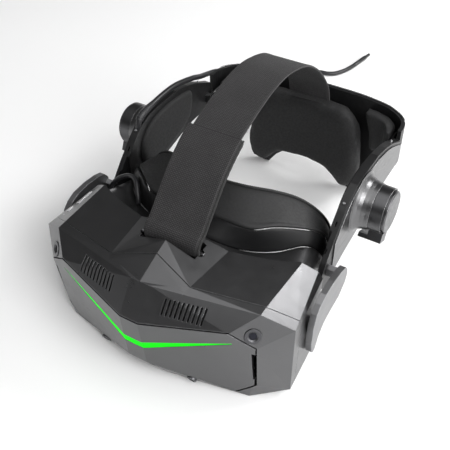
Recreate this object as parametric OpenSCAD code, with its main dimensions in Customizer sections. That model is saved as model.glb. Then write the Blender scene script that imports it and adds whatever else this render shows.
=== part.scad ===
// Head-worn display with side arms, a rear cradle, a top strap and a tether lead.
// Millimetres. +Z is up, +X is the wearer's left, the visor looks along -Y.
// Origin: middle of the footprint, on the surface the visor and cradle rest on.

/* [Housing] */
// Wall thickness of the moulded housing
wall = 2.2; // [1.6:0.1:3.0]
// Width of the parting gap between housing panels
panel_gap = 0.5; // [0.3:0.1:0.8]
// Height of the light bar at its centre
glow_h = 8; // [4:0.5:10]
// Number of cooling slots on each side of the brow
vent_count = 10; // [6:1:12]
// Width of one cooling slot
vent_w = 1.9; // [1.2:0.1:2.2]

/* [Optics] */
// Distance between the two lens axes
eye_spacing = 64; // [60:0.5:68]
// Outer radius of a lens barrel
barrel_r = 27; // [24:0.5:27.5]

/* [Headband] */
// Width of the woven top strap
strap_w = 53; // [45:1:56]
// Thickness of the woven top strap
strap_t = 2.2; // [1.6:0.1:2.6]
// Radius of a speaker housing
spk_r = 24; // [20:0.5:26]
// Diameter of the tether lead
lead_d = 6.4; // [5:0.1:7]
// Running clearance of the side pivots
pivot_play = 0.05; // [0.03:0.01:0.09]

/* [Hidden] */

$fn = 48;
y0 = -156.55;
z0 = 14;
lens_x = eye_spacing / 2;

// housing corner points, right half
body_pts = [[10, -21.2, 102], [112, 0, 100], [112, 9.8, 100.4], [114.5, 76, 100.2], [43.5, -6.3, 103.6],
 [49.6, 52, 103.2], [129, 82, 90.5], [132, 88, 78], [140, 13.5, 82.3], [140, 20, 79],
 [91.5, -21.7, 84.5], [114.1, -12.6, 67.7], [10, -43.3, 71], [10.7, -36.3, 10.1],
 [111.3, -6.3, 8.2], [93.8, -9.8, -8.8], [106, -5, -14], [138.5, 17, -7], [139, 58, 10],
 [100, 52, -14], [24, -24, -9], [24, 52, -10], [100, 86, -2], [24, 84, -2]];
hump_pts = [[0, -21.2, 102], [42.8, -13.9, 101.4], [43.5, -6.3, 103.6], [49.6, 52, 103.2], [27, 50.5,
  111],
 [0, 0, 110.3], [0, 7, 113.2], [0, 22, 118.3], [0, 48, 119.6]];
function flip(p) = [-p[0], p[1], p[2]];
function sg(v) = v > 0.5 ? 1 : (v < -0.5 ? -1 : 0);
function inset(p, t) = [p[0] - t * sg(p[0]), p[1] < 35 ? p[1] + t : p[1] + 6 * min(t, 1),
 p[2] > 45 ? p[2] - t : p[2] + t];
function lower(p, t) = [p[0] * (1 - t / 60), p[1] < 35 ? p[1] + t * 1.6 : p[1] + 6 * min(t, 1), p[2] - t];

module solid_of(q) {
  pts = concat(q, [for (p = q) flip(p)]);
  hull() polyhedron(points = pts, faces = [[for (i = [0:len(pts) - 1]) i]]);
}
module body_out() {
  solid_of(body_pts);
  solid_of(concat(hump_pts, [[49.6, 52, 92], [42, -8, 92], [0, -10, 92]]));
}
module body_in(t) {
  solid_of([for (p = body_pts) inset(p, t)]);
  solid_of(concat([for (p = hump_pts) lower(p, t)], [[46, 60, 88], [38, 0, 88], [0, 0, 88]]));
}
module housing_wall() difference() {
  body_out();
  body_in(wall);
}
// plan outline of the bezel's rear seam
module seam_plan(g) polygon([[-170, -90], [170, -90], [170, 41 - g], [140, 25.5 - g], [112, 9.8 - g],
 [43.5, -6 - g], [0, 7 - g], [-43.5, -6 - g], [-112, 9.8 - g], [-140, 25.5 - g], [-170, 41 - g]]);
module seam_prism(g) translate([0, 0, -60]) linear_extrude(220) seam_plan(g);
// front view outline of the face plate, grown by g
module plate_view(g, e = 0) polygon([[-10, 71 + g], [-91.5 - g * 0.3, 84.5 + g], [-114.3 - g,
  68 + g * 0.6],
 [-111.5 - g - e, 8 - e], [-93.8 - e * 0.3, -8.8 - g - e], [-10.7, 9.6 - g - e], [10.7, 9.6 - g - e],
 [93.8 + e * 0.3, -8.8 - g - e], [111.5 + g + e, 8 - e],
 [114.3 + g, 68 + g * 0.6], [91.5 + g * 0.3, 84.5 + g], [10, 71 + g]]);
module plate_prism(g, e = 0) translate([0, 30, 0]) rotate([90, 0, 0]) linear_extrude(90) plate_view(g, e);
module side_slot(g) for (s = [-1, 1]) translate([s * 112.2 - 1.6 - g, -60, 18 - g])
  cube([3.2 + 2 * g, 90, 42 + 2 * g]);
module glow_view(g) polygon([[0, 38.4 + glow_h / 2 + g], [-9, 38.6 + glow_h / 2 + g], [-94.2 - g,
  70.9 + g],
 [-94.2 - g, 69.9 - g], [-11, 38.4 - glow_h / 2 - g], [0, 37.8 - glow_h / 2 - g], [11,
   38.4 - glow_h / 2 - g],
 [94.2 + g, 69.9 - g], [94.2 + g, 70.9 + g], [9, 38.6 + glow_h / 2 + g]]);
module glow_prism(g) translate([0, 30, 0]) rotate([90, 0, 0]) linear_extrude(90) glow_view(g);

// places a child on the front corner facet, +Z outward
module on_corner(s) mirror([s < 0 ? 1 : 0, 0, 0]) translate([110.2, -9.9, 80.6]) rotate([0, 0, 35.9])
  rotate([70.7, 0, 0]) children();
module at_lower_cam(s) mirror([s < 0 ? 1 : 0, 0, 0]) translate([51.1, -18.6, -5.2]) rotate([112, 0, 0])
  children();
// frame on the wearer's right upper facet, +Z outward, +Y rearward
module on_keys(px, py, pz) translate([px, py, pz]) rotate([0, -32.8, 0]) children();

// closed loops around the face opening, right half from top centre to nose
loop_a = [[0, 46.5, 113], [26, 48, 106.5], [50, 52, 99], [84, 62, 96.5], [106, 72, 95], [118, 79, 87],
 [122.3, 81, 68], [122.3, 78, 36], [113, 76, 9], [86, 76, -4], [50, 76, -5], [22, 74, 6], [0, 72, 12]];
loop_b = [[0, 56, 108], [27, 58, 102], [55, 71, 91], [83, 86, 90], [103, 106, 90.5], [112, 121, 76],
 [115.5, 129, 58], [115.5, 137, 34], [107, 138, 10], [84, 128, 0], [50, 116, -2], [22, 106, 10], [0,
   102, 18]];
loop_c = [[0, 74, 117], [30, 76, 115.5], [58.6, 79, 114], [77, 93, 114], [95, 110, 107], [107.5, 126, 96],
 [113.5, 140, 76], [114.5, 149, 40], [108, 146, 10], [86, 136, -6], [54, 126, -8], [24, 116, 6], [0,
   111, 16]];
loop_d = [[0, 113, 131.5], [30, 117, 130.5], [58, 129, 126], [78, 141, 117], [95, 150, 103], [107, 156,
  85],
 [111.5, 159, 62], [112, 160, 36], [106, 158, 8], [86, 150, -8], [56, 140, -10], [26, 128, 4], [0, 122,
   16]];

function cr(a, b, c, d, t) = 0.5 * ((2 * b) + (c - a) * t + (2 * a - 5 * b + 4 * c - d) * t * t
 + (3 * b - a - 3 * c + d) * t * t * t);
function open_curve(p, k) = let(n = len(p)) concat([for (i = [0:n - 2]) for (s = [0:k - 1])
 cr(p[max(i - 1, 0)], p[i], p[i + 1], p[min(i + 2, n - 1)], s / k)], [p[n - 1]]);
function closed_curve(p, k) = let(n = len(p)) [for (i = [0:n - 1]) for (s = [0:k - 1])
 cr(p[(i + n - 1) % n], p[i], p[(i + 1) % n], p[(i + 2) % n], s / k)];
loop_ab = [for (i = [0:12]) let(m = (loop_a[i] + loop_b[i]) / 2) [min(m[0], 116.6), m[1], m[2]]];
function whole(h) = concat(h, [for (i = [len(h) - 2:-1:1]) flip(h[i])]);
function shrunk(h, d, dy) = [for (p = h) let(v = [p[0], p[2] - 52], m = max(norm(v), 1))
 [p[0] - d * v[0] / m, p[1] + dy, p[2] - d * v[1] / m]];
function between(a, b, t) = [for (i = [0:len(a) - 1]) a[i] * (1 - t) + b[i] * t];
module ring(halves, k) {
  loops = [for (h = halves) closed_curve(whole(h), k)];
  n = len(loops[0]);
  m = len(loops);
  polyhedron(points = [for (l = loops) each l],
   faces = [for (j = [0:m - 1]) for (i = [0:n - 1]) for (h = [0, 1])
    let(a = j * n + i, b = j * n + (i + 1) % n, c = ((j + 1) % m) * n + (i + 1) % n, d = ((j + 1) % m)
      * n + i)
    h == 0 ? [a, b, c] : [a, c, d]]);
}

// strip of even thickness along a path in the YZ plane
function seg_n(p, i) = let(a = p[max(i - 1, 0)], b = p[min(i + 1, len(p) - 1)], v = (b - a) / norm(b - a))
 [-v[1], v[0]];
function strip(p, t) = concat([for (i = [0:len(p) - 1]) p[i] + seg_n(p, i) * t / 2],
 [for (i = [len(p) - 1:-1:0]) p[i] - seg_n(p, i) * t / 2]);
module band(p, t, w, k) translate([-w / 2, 0, 0]) rotate([90, 0, 90]) linear_extrude(w)
  polygon(strip(open_curve(p, k), t));

// round lead swept along route points
function carry(r, i, n0) = i == 0 ? n0 : let(q = carry(r, i - 1, n0), tt = tang(r, i),
  v = q - tt * (q * tt))
 v / norm(v);
function tang(r, i) = let(a = r[max(i - 1, 0)], b = r[min(i + 1, len(r) - 1)]) (b - a) / norm(b - a);
module sweep(route, d, k, sides) {
  r = open_curve(route, k);
  n = len(r);
  pts = [for (i = [0:n - 1]) let(tt = tang(r, i), u = carry(r, i, [0, 0, 1]), v = cross(tt, u))
   for (s = [0:sides - 1]) r[i] + d / 2 * (u * cos(360 * s / sides) + v * sin(360 * s / sides))];
  polyhedron(points = pts, faces = concat([[for (s = [0:sides - 1]) s]],
   [[for (s = [sides - 1:-1:0]) (n - 1) * sides + s]],
   [for (i = [0:n - 2]) for (s = [0:sides - 1]) for (h = [0, 1])
    let(a = i * sides + s, b = i * sides + (s + 1) % sides, c = a + sides, e = b + sides)
    h == 0 ? [a, c, b] : [b, c, e]]));
}

tail_path = [[36.5, 104.9], [34.8, 102.9], [32.2, 102.4], [29.9, 103.8], [28.9, 106.8], [28.6, 111],
  [29.6, 115.6], [33, 120],
 [40, 124.6],
 [57, 143], [76, 162.6], [94, 176.3], [111, 185.8]];
strap_path = [[36.9, 107.4], [37.2, 112], [38.8, 116.6], [42.4, 121.2], [58.6, 139.4], [78, 159], [96,
  172.9], [112, 182.2],
 [127, 188], [150, 195.6], [178, 202.6], [208, 204.4], [240, 198], [263, 188.5], [290, 169], [310, 148],
 [322, 131], [328.5, 112]];
tether_route = [[-122.7, 150, 119.5], [-122.7, 157, 135.2], [-122.7, 182, 140], [-122.7, 221, 140.6],
  [-122.7, 258, 132.5],
 [-125.6, 284, 122], [-128.4, 306, 114], [-128.6, 326, 107.5], [-121, 347, 99], [-108, 366, 84], [-101,
   378, 60],
 [-99, 386, 30], [-98, 402, 2], [-98, 428, -10.7], [-98, 470, -10.7], [-103, 512, -10.7], [-110, 545,
   -10.7],
 [-111.5, 565, -10.7], [-106, 579, -10.7], [-95, 585.5, -10.7], [-83, 587.5, -10.7], [-72.5, 594, -10.7],
 [-64.5, 606.5, -10.7], [-59, 622, -10.7], [-56.2, 634.7, -10.7]];
bridge_route = [[-124.2, 99, 73.5], [-122.4, 96.6, 82.5], [-114, 97, 94], [-103, 98.8, 101.8],
 [-92, 96.3, 106.1], [-83, 90, 106.7], [-76.5, 82.4, 103], [-73, 78, 96.9], [-72, 76.4, 92.6]];

arm_top = [[96, 56], [98, 70], [104, 80], [121, 99], [141, 119], [154, 129], [168, 134], [182, 135.5],
  [221, 136],
 [245, 131], [263, 125], [297, 109]];
arm_low = [[297, 80], [282, 78.5], [253, 78], [230, 74], [205, 68], [180, 62.5], [166, 61], [150, 58],
  [137, 54], [120, 48],
 [104, 46]];
arm_view = concat(arm_top, arm_low);
skin_top = [[121, 93], [141, 114], [154, 124.5], [168, 129.5], [182, 131], [221, 131.5], [245, 127],
  [263, 121], [296, 105]];
cover_view = [[41, 28], [38.5, 42], [39.5, 62], [44, 76], [52, 83], [62, 87], [80, 88.5], [96, 87],
  [107, 84], [112, 78],
 [113.5, 71], [110, 62], [97, 53], [80, 51], [64, 47], [54, 38], [48, 26], [44, 25]];

module yz(x, t) translate([x, 0, 0]) rotate([90, 0, 90]) linear_extrude(t) children();
module xz(y, t) translate([0, y + t, 0]) rotate([90, 0, 0]) linear_extrude(t) children();
module place() translate([0, y0, z0]) children();
module side(s) mirror([s < 0 ? 1 : 0, 0, 0]) children();

// ---------- housing ----------
module vent_cut() for (s = [0, 1]) mirror([s, 0, 0]) for (i = [0:vent_count - 1])
  let(f = i / (vent_count - 1), x = 67 - 37.4 * f, w = vent_w)
    translate([x, -22.5 - 8 * f, 92]) rotate([0, 0, 12]) rotate([-34, 0, 0]) rotate([0, 8, 0])
      translate([-w / 2, -9, -8]) cube([w, 18, 16.5]);
module front_bezel() place() color([0.2, 0.2, 0.21]) difference() {
  intersection() {
    housing_wall();
    seam_prism(0);
  }
  plate_prism(1.1, 0.9);
  vent_cut();
  for (s = [-1, 1]) on_corner(s) translate([0, 0, -12]) cylinder(r = 7.9, h = 24);
  for (s = [-1, 1]) at_lower_cam(s) translate([0, 0, -14]) cylinder(r = 5.4, h = 28);
}
module face_plate() place() color([0.35, 0.35, 0.36]) difference() {
  intersection() {
    housing_wall();
    plate_prism(0);
  }
  glow_prism(0.06);
  side_slot(0);
}
module light_bar() place() color([0.05, 0.95, 0.1]) intersection() {
  difference() {
    translate([0, 0.25, 0]) solid_of(body_pts);
    solid_of([for (p = body_pts) inset(p, wall)]);
  }
  glow_prism(0);
}
collar_front = [[-118, 130], [-118, 79.4], [-106, 72.4], [-84, 62.4], [-50, 52.4], [-26, 48.4], [0, 46.9],
 [26, 48.4], [50, 52.4], [84, 62.4], [106, 72.4], [118, 79.4], [118, 130]];
module slot_pocket() {
  translate([-31, 22, 99.6]) cube([62, 21.5, 30]);
  for (s = [-1, 1]) translate([s * 30.5, 31.5, 99.6]) cylinder(r = 4.6, h = 30);
}
module key_hole(px, py, pz, w, l) on_keys(px, py, pz) translate([-w / 2, -l / 2, -9]) cube([w, l, 14]);
module top_shell() place() color([0.2, 0.2, 0.21]) difference() {
  union() {
    difference() {
      housing_wall();
      seam_prism(-panel_gap);
      translate([-200, -100, -60]) cube([400, 300, 68]);
    }
    intersection() {
      body_out();
      translate([-38, 17, 97.8]) cube([76, 28.4, 30]);
    }
  }
  slot_pocket();
  translate([0, 0, 90]) linear_extrude(40) polygon(collar_front);
  translate([-34.9, 32.8, 106.5]) rotate([0, 90, 0]) cylinder(r = 1.85, h = 69.8);
  key_hole(-126.5, 56.3, 92.0, 4.4, 23);
  key_hole(-129.2, 36.4, 89.8, 4.2, 8.6);
  on_keys(-130.4, 27.5, 88.8) translate([0, 0, -9]) cylinder(r = 1.0, h = 14, $fn = 16);
  for (s = [-1, 1]) side(s) translate([120, 58, 44]) rotate([0, 90, 0]) cylinder(r = 9.3, h = 40);
}
module bottom_shell() place() color([0.24, 0.24, 0.25]) difference() {
  housing_wall();
  seam_prism(-panel_gap);
  translate([-200, -100, 8 - panel_gap]) cube([400, 300, 200]);
  translate([52, 61.5, -20]) cube([9, 14.6, 30]);
  translate([-118, 74.4, -20]) cube([236, 40, 40]);
  for (s = [-1, 1]) at_lower_cam(s) translate([0, 0, -14]) cylinder(r = 5.4, h = 28);
}
module vent_screen() place() color([0.03, 0.03, 0.03]) intersection() {
  difference() {
    solid_of([for (p = body_pts) inset(p, wall + 0.3)]);
    solid_of([for (p = body_pts) inset(p, wall + 1.6)]);
  }
  translate([-74, -45, 78]) cube([148, 60, 22]);
  union() {
    translate([-73, -45, 70]) cube([48, 60, 40]);
    translate([25, -45, 70]) cube([48, 60, 40]);
  }
}
module cam_ring() difference() {
  union() {
    cylinder(r = 7.6, h = 1.9);
    translate([0, 0, -6.5]) cylinder(r = 6.9, h = 7);
  }
  translate([0, 0, 0.9]) cylinder(r1 = 3.6, r2 = 5.2, h = 1.1);
  translate([0, 0, -3]) cylinder(r = 3.6, h = 5);
}
module camera_upper_right() place() color([0.25, 0.25, 0.26]) on_corner(1) translate([0, 0, -1.3])
  cam_ring();
module camera_upper_left() place() color([0.25, 0.25, 0.26]) on_corner(-1) translate([0, 0, -1.3])
  cam_ring();
module cam_glass() translate([0, 0, -4.2]) cylinder(r = 3.5, h = 3.4);
module camera_glass_right() place() color([0.02, 0.02, 0.03]) on_corner(1) cam_glass();
module camera_glass_left() place() color([0.02, 0.02, 0.03]) on_corner(-1) cam_glass();
module low_cam() difference() {
  translate([0, 0, -4]) cylinder(r = 5.1, h = 7.6);
  translate([0, 0, 2.7]) cylinder(r = 3.4, h = 2);
}
module camera_lower_right() place() color([0.12, 0.12, 0.13]) at_lower_cam(1) low_cam();
module camera_lower_left() place() color([0.12, 0.12, 0.13]) at_lower_cam(-1) low_cam();

// ---------- inside ----------
module chassis() place() color([0.3, 0.3, 0.31]) difference() {
  union() {
    translate([-104, 4, 2]) cube([208, 3, 84]);
    for (s = [-1, 1]) translate([s * 98 - 3, 7, 4]) cube([6, 50, 78]);
    for (s = [-1, 1]) side(s) translate([100.9, 46, 34]) cube([17.6, 21, 20]);
  }
  for (s = [-1, 1]) translate([s * lens_x, 0, 46]) rotate([-90, 0, 0]) cylinder(r = 20, h = 20);
  translate([-16, 0, 74]) cube([32, 20, 20]);
}
module main_board() place() color([0.05, 0.25, 0.12]) union() {
  translate([-70, -2, 14]) cube([140, 1.6, 60]);
  translate([-50, -0.4, 24]) cube([22, 2, 22]);
  translate([26, -0.4, 30]) cube([26, 2, 16]);
}
module fan_frame() place() color([0.1, 0.1, 0.1]) difference() {
  translate([-19, 8, 88.4]) cube([38, 30, 7.6]);
  translate([0, 23, 89.8]) cylinder(r = 13.5, h = 10);
  translate([0, 23, 80]) cylinder(r = 1.55, h = 12);
}
module fan_rotor() place() color([0.15, 0.15, 0.16]) union() {
  translate([0, 23, 88.8]) cylinder(r = 1.5, h = 4);
  translate([0, 23, 90.2]) cylinder(r = 6, h = 5);
  for (i = [0:6]) translate([0, 23, 90.4]) rotate([0, 0, i * 360 / 7]) translate([5, -0.6, 0])
    cube([7.8, 1.2, 4.6]);
}
module lens_rail() place() color([0.6, 0.6, 0.62]) union() {
  translate([-95, 30, 8]) rotate([0, 90, 0]) cylinder(r = 2, h = 190);
  translate([-95, 30, 84]) rotate([0, 90, 0]) cylinder(r = 2, h = 190);
}
module eye_panel() place() color([0.03, 0.03, 0.03]) difference() {
  xz(68.5, 2) polygon([[-98, 88], [98, 88], [123, 78], [123, 20], [104, 7], [62, 6], [22, 10], [0, 26],
    [-22, 10],
   [-62, 6], [-104, 7], [-123, 20], [-123, 78]]);
  for (s = [-1, 1]) side(s) {
    for (d = [-4, 4]) translate([lens_x + d, 50, 46]) rotate([-90, 0, 0]) cylinder(r = barrel_r + 0.6,
      h = 30);
    translate([lens_x - 4, 50, 46 - barrel_r - 0.6]) cube([8, 30, 2 * barrel_r + 1.2]);
  }
}
module barrel() difference() {
  union() {
    translate([0, 20, 46]) rotate([-90, 0, 0]) cylinder(r = barrel_r, h = 53);
    for (z = [8, 84]) translate([-9, 24, z - 5]) cube([18, 12, 10]);
    translate([-9, 24, 8]) cube([18, 4, 14]);
    translate([-9, 24, 70]) cube([18, 4, 14]);
  }
  translate([0, 15, 46]) rotate([-90, 0, 0]) cylinder(r = barrel_r - 2.5, h = 60);
  for (z = [8, 84]) translate([-30, 30, z]) rotate([0, 90, 0]) cylinder(r = 2.1, h = 60);
}
module barrel_right() place() color([0.04, 0.04, 0.04]) translate([lens_x, 0, 0]) barrel();
module barrel_left() place() color([0.04, 0.04, 0.04]) translate([-lens_x, 0, 0]) barrel();
module lens() translate([0, 61, 46]) rotate([-90, 0, 0]) intersection() {
  cylinder(r = barrel_r - 2.6, h = 9);
  translate([0, 0, -51]) sphere(r = 60, $fn = 64);
}
module lens_right() place() color([0.5, 0.6, 0.7, 0.4]) translate([lens_x, 0, 0]) lens();
module lens_left() place() color([0.5, 0.6, 0.7, 0.4]) translate([-lens_x, 0, 0]) lens();
module display_right() place() color([0.02, 0.02, 0.05]) translate([lens_x - 21, 17, 26]) cube([42, 2.8,
  40]);
module display_left() place() color([0.02, 0.02, 0.05]) translate([-lens_x - 21, 17, 26]) cube([42, 2.8,
  40]);
module ipd_wheel() place() color([0.1, 0.1, 0.1]) translate([53, 69, -2.5]) rotate([0, 90, 0])
  difference() {
  cylinder(r = 6.5, h = 7);
  for (i = [0:19]) rotate([0, 0, i * 18]) translate([6.9, 0, -1]) cylinder(r = 0.8, h = 9, $fn = 8);
  translate([0, 0, -1]) cylinder(r = 1.5, h = 9, $fn = 24);
}
module volume_rocker() place() color([0.75, 0.75, 0.76]) on_keys(-126.5, 56.3, 92.0)
  translate([-1.9, -11.1, -2.6]) cube([3.8, 22.2, 3.3]);
module power_button() place() color([0.75, 0.75, 0.76]) on_keys(-129.2, 36.4, 89.8)
  translate([-1.8, -4, -2.6]) cube([3.6, 8, 3.3]);
module status_led() place() color([0.7, 0.7, 0.7]) on_keys(-130.4, 27.5, 88.8) translate([0, 0, -2.4])
  cylinder(r = 0.9, h = 2.5, $fn = 16);

// ---------- face side ----------
module rear_collar() place() color([0.3, 0.3, 0.31])
  ring([loop_a, loop_ab, loop_b, shrunk(loop_b, 3, -0.4),
   shrunk(loop_ab, 3, 0), shrunk(loop_a, 3, 0.2)], 4);
module gasket_frame() place() color([0.02, 0.02, 0.02])
  ring([shrunk(loop_b, 0.5, 0.6), shrunk(between(loop_b, loop_c, 0.5), -1.2, 0.8), shrunk(loop_c, 0, 0),
   shrunk(loop_c, 4, -0.3), shrunk(between(loop_b, loop_c, 0.5), 3, 1), shrunk(loop_b, 4.5, 0.5)], 4);
module face_cushion() place() color([0.06, 0.06, 0.06])
  ring([shrunk(loop_c, 0.8, 1.2), shrunk(between(loop_c, loop_d, 0.5), 0.2, 1), shrunk(loop_d, 0.6, -3),
   shrunk(loop_d, 3.2, 0.6), shrunk(loop_d, 9, 2.6), shrunk(loop_d, 16, 1.8), shrunk(loop_d, 20, -4),
   shrunk(between(loop_c, loop_d, 0.4), 19, 0), shrunk(loop_c, 10, 1.6)], 4);
module strap_bar() place() color([0.15, 0.15, 0.15]) translate([-34.8, 32.8, 106.5]) rotate([0, 90, 0])
  cylinder(r = 1.8, h = 69.6);

// ---------- side arms ----------
module hinge_boss(s) side(s) union() {
  translate([118.7, 58, 44]) rotate([0, 90, 0]) cylinder(r = 9, h = 20.8);
  translate([139.4, 58, 44]) rotate([0, 90, 0]) cylinder(r = 4, h = 5.3);
}
module hinge_boss_right() place() color([0.2, 0.2, 0.2]) hinge_boss(1);
module hinge_boss_left() place() color([0.2, 0.2, 0.2]) hinge_boss(-1);
module hinge_cover(s) side(s) difference() {
  union() {
    yz(140.3, 6.2) polygon(cover_view);
    yz(127.1, 13.3) polygon([[107.6, 71.5], [111.6, 75], [112.9, 71], [110.4, 63], [108.6, 61.8]]);
  }
  translate([139, 58, 44]) rotate([0, 90, 0]) cylinder(r = 4 + pivot_play, h = 6);
}
module hinge_cover_right() place() color([0.45, 0.45, 0.46]) hinge_cover(1);
module hinge_cover_left() place() color([0.45, 0.45, 0.46]) hinge_cover(-1);
module arm(s) side(s) difference() {
  yz(118.6, 8.4) polygon(arm_view);
  for (p = [[131.2, 109.3], [112, 89]]) translate([122.6, p[0], p[1]]) rotate([45, 0, 0])
    translate([-1, -2.6, -4]) cube([2, 5.2, 8]);
  for (p = [[147, 124], [273, 120.5]]) translate([122.6, p[0], p[1]]) rotate([p[0] > 200 ? -24 : 38, 0,
    0])
    translate([0, 0, -3]) cylinder(r = 1.5, h = 9, $fn = 24);
  translate([118, 80, 40]) cube([3.5, 46, 70]);
  yz(124.9, 3) polygon(concat([for (p = skin_top) p + [0, 0.15]], [[296.2, 83], [253, 80.8], [205, 71],
    [180, 65.5], [150, 61],
   [128, 55.4], [120.5, 60]]));
}
module arm_right() place() color([0.05, 0.05, 0.05]) arm(1);
module arm_left() place() color([0.05, 0.05, 0.05]) difference() {
  arm(-1);
  translate([-122.7, 150, 119.5]) rotate([-24, 0, 0]) translate([0, 0, -2])
    cylinder(r = lead_d / 2 + 0.3, h = 30);
}
module arm_skin(s) side(s) union() {
  yz(125, 3.2) polygon(concat(skin_top, [[296, 83.2], [253, 81], [205, 71.3], [180, 65.8], [150, 61.3],
    [128, 55.7], [120.8, 60]]));
  translate([128.1, 185, 101.5]) rotate([0, 90, 0]) rotate_extrude($fn = 72)
    polygon([[0, 0], [33, 0], [30.4, 1.4], [28, 4], [26.2, 7.6], [25, 12], [24.4, 16.2], [0, 16.2]]);
}
module arm_skin_right() place() color([0.65, 0.65, 0.66]) arm_skin(1);
module arm_skin_left() place() color([0.65, 0.65, 0.66]) arm_skin(-1);
pad_view = [[150, 90], [152, 108], [157, 116], [166, 123], [176, 127], [201, 131.5], [225, 130], [245,
  125.5], [252, 118],
 [250, 102], [244, 90], [230, 82], [205, 76], [180, 71], [160, 74]];
module arm_pad(s) side(s) yz(113.6, 4.8) polygon(pad_view);
module arm_pad_right() place() color([0.08, 0.08, 0.08]) arm_pad(1);
module arm_pad_left() place() color([0.08, 0.08, 0.08]) arm_pad(-1);
module speaker(s) side(s) difference() {
  union() {
    translate([144.6, 185, 101.5]) rotate([0, 90, 0]) cylinder(r = spk_r, h = 12.4, $fn = 72);
    translate([144.6, 185, 101.5]) rotate([-25, 0, 0]) translate([0, -8, -33]) cube([15, 16, 10.4]);
    translate([135.4, 185, 101.5]) rotate([-25, 0, 0]) translate([0, -8, -33]) cube([9.6, 16, 5]);
  }
  translate([156.2, 185, 101.5]) rotate([0, 90, 0]) cylinder(r = spk_r - 1.7, h = 1, $fn = 72);
}
module speaker_right() place() color([0.22, 0.22, 0.23]) speaker(1);
module speaker_left() place() color([0.22, 0.22, 0.23]) speaker(-1);
module speaker_cap(s) side(s) translate([156.3, 185, 101.5]) rotate([0, 90, 0]) rotate_extrude($fn = 72)
  polygon([[0, 0], [spk_r - 2, 0], [spk_r - 2, 3.4], [spk_r - 3, 4.4], [0, 4.4]]);
module speaker_cap_right() place() color([0.6, 0.6, 0.61]) speaker_cap(1);
module speaker_cap_left() place() color([0.6, 0.6, 0.61]) speaker_cap(-1);

// ---------- rear cradle ----------
function se(a, b, e, n) = [for (i = [0:n]) let(t = 180 * i / n, c = cos(t), s = sin(t))
 [a * sg2(c) * pow(abs(c), e), 303 + b * pow(max(s, 0), e)]];
function sg2(v) = v < 0 ? -1 : 1;
module plan(a, b, w) polygon(concat(se(a, b, 0.62, 48), [for (i = [48:-1:0]) se(a - w, b - w, 0.62,
  48)[i]]));
shell_half = [[-1, 121], [60, 121], [96, 120], [124, 116], [125, 70], [112, 66], [90, 58], [80, 40],
  [76, 10], [70, -10], [64, -14],
 [56, -14], [46, 0], [30, 14], [0, 22], [-1, 22]];
module mirrored_view(h) {
  polygon(h);
  mirror([1, 0]) polygon(h);
}
module rear_shell() place() color([0.06, 0.06, 0.06]) difference() {
  intersection() {
    translate([0, 0, -20]) linear_extrude(160) plan(124, 44, 4.4);
    xz(280, 90) mirrored_view(shell_half);
  }
  translate([0, 330, 96]) rotate([-90, 0, 0]) cylinder(r = 5.05, h = 30);
  intersection() {
    translate([0, 0, 117.6]) linear_extrude(10) plan(124.2, 44.2, 1.6);
    xz(280, 90) polygon([[-130, 100], [130, 100], [130, 130], [-130, 130]]);
  }
}
module rear_rim() place() color([0.7, 0.7, 0.72]) intersection() {
  translate([0, 0, 117.7]) linear_extrude(4.6) plan(124.1, 44.1, 1.4);
  xz(280, 90) mirrored_view([[-1, 122.2], [60, 122.2], [96, 121.2], [124, 117.2], [126, 100], [-1, 100]]);
}
module slide_bar(s) side(s) union() {
  translate([111.5, 283, 86]) cube([2.4, 41, 14]);
  translate([111.5, 283, 88]) cube([7, 8, 10]);
}
module slide_bar_right() place() color([0.7, 0.7, 0.72]) slide_bar(1);
module slide_bar_left() place() color([0.7, 0.7, 0.72]) slide_bar(-1);
pad_half = [[0, 112], [30, 112], [46, 110.5], [57, 106], [65, 97.5], [70.5, 87], [74.5, 72], [77.5, 52],
  [79, 34], [77.5, 18],
 [71.5, 6.5], [64, 0.8], [57, 0.3], [50.5, 4], [41, 10.5], [25, 17], [0, 20.5]];
function both_sides(h) = concat(h, [for (i = [len(h) - 2:-1:1]) [-h[i][0], h[i][1]]]);
module rear_pad() place() color([0.06, 0.06, 0.06]) difference() {
  intersection() {
    translate([0, 0, -20]) linear_extrude(140) polygon([[-90, 309], [-60, 315], [-30, 320.5], [0,
      322.5], [30, 320.5], [60, 315],
     [90, 309], [90, 327], [70, 334], [40, 339], [0, 340.5], [-40, 339], [-70, 334], [-90, 327]]);
    xz(280, 90) polygon(closed_curve(both_sides(pad_half), 3));
  }
  translate([-strap_w / 2 - 1, 325, 104]) cube([strap_w + 2, 7.5, 20]);
  translate([0, 334.6, 96]) rotate([-90, 0, 0]) cylinder(r = 12, h = 12);
}
module side_pad(s) side(s) difference() {
  intersection() {
    translate([0, 0, -20]) linear_extrude(150) plan(119.3, 39.3, 16);
    xz(280, 90) polygon([[70, 113.5], [74.5, 99], [79.5, 84], [81.8, 62], [96, 66], [113.5, 72], [113.5,
      108], [104, 112], [84, 114.5]]);
  }
  translate([111, 270, 84]) cube([20, 110, 18]);
}
module side_pad_right() place() color([0.1, 0.1, 0.1]) side_pad(1);
module side_pad_left() place() color([0.1, 0.1, 0.1]) side_pad(-1);
module dial() place() color([0.12, 0.12, 0.12]) translate([0, 0, 96]) union() {
  translate([0, 337, 0]) rotate([-90, 0, 0]) cylinder(r = 10.5, h = 4);
  translate([0, 337, 0]) rotate([-90, 0, 0]) cylinder(r = 5, h = 14);
  translate([0, 347.4, 0]) rotate([-90, 0, 0]) difference() {
    cylinder(r = 17, h = 9, $fn = 72);
    for (i = [0:23]) rotate([0, 0, i * 15]) translate([17.6, 0, -1]) cylinder(r = 1.2, h = 11, $fn = 12);
  }
}

// ---------- top strap ----------
module top_strap() place() color([0.1, 0.1, 0.1]) band(strap_path, strap_t, strap_w, 4);
module strap_tail() place() color([0.1, 0.1, 0.1]) band(tail_path, strap_t, strap_w + 6, 4);

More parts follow.
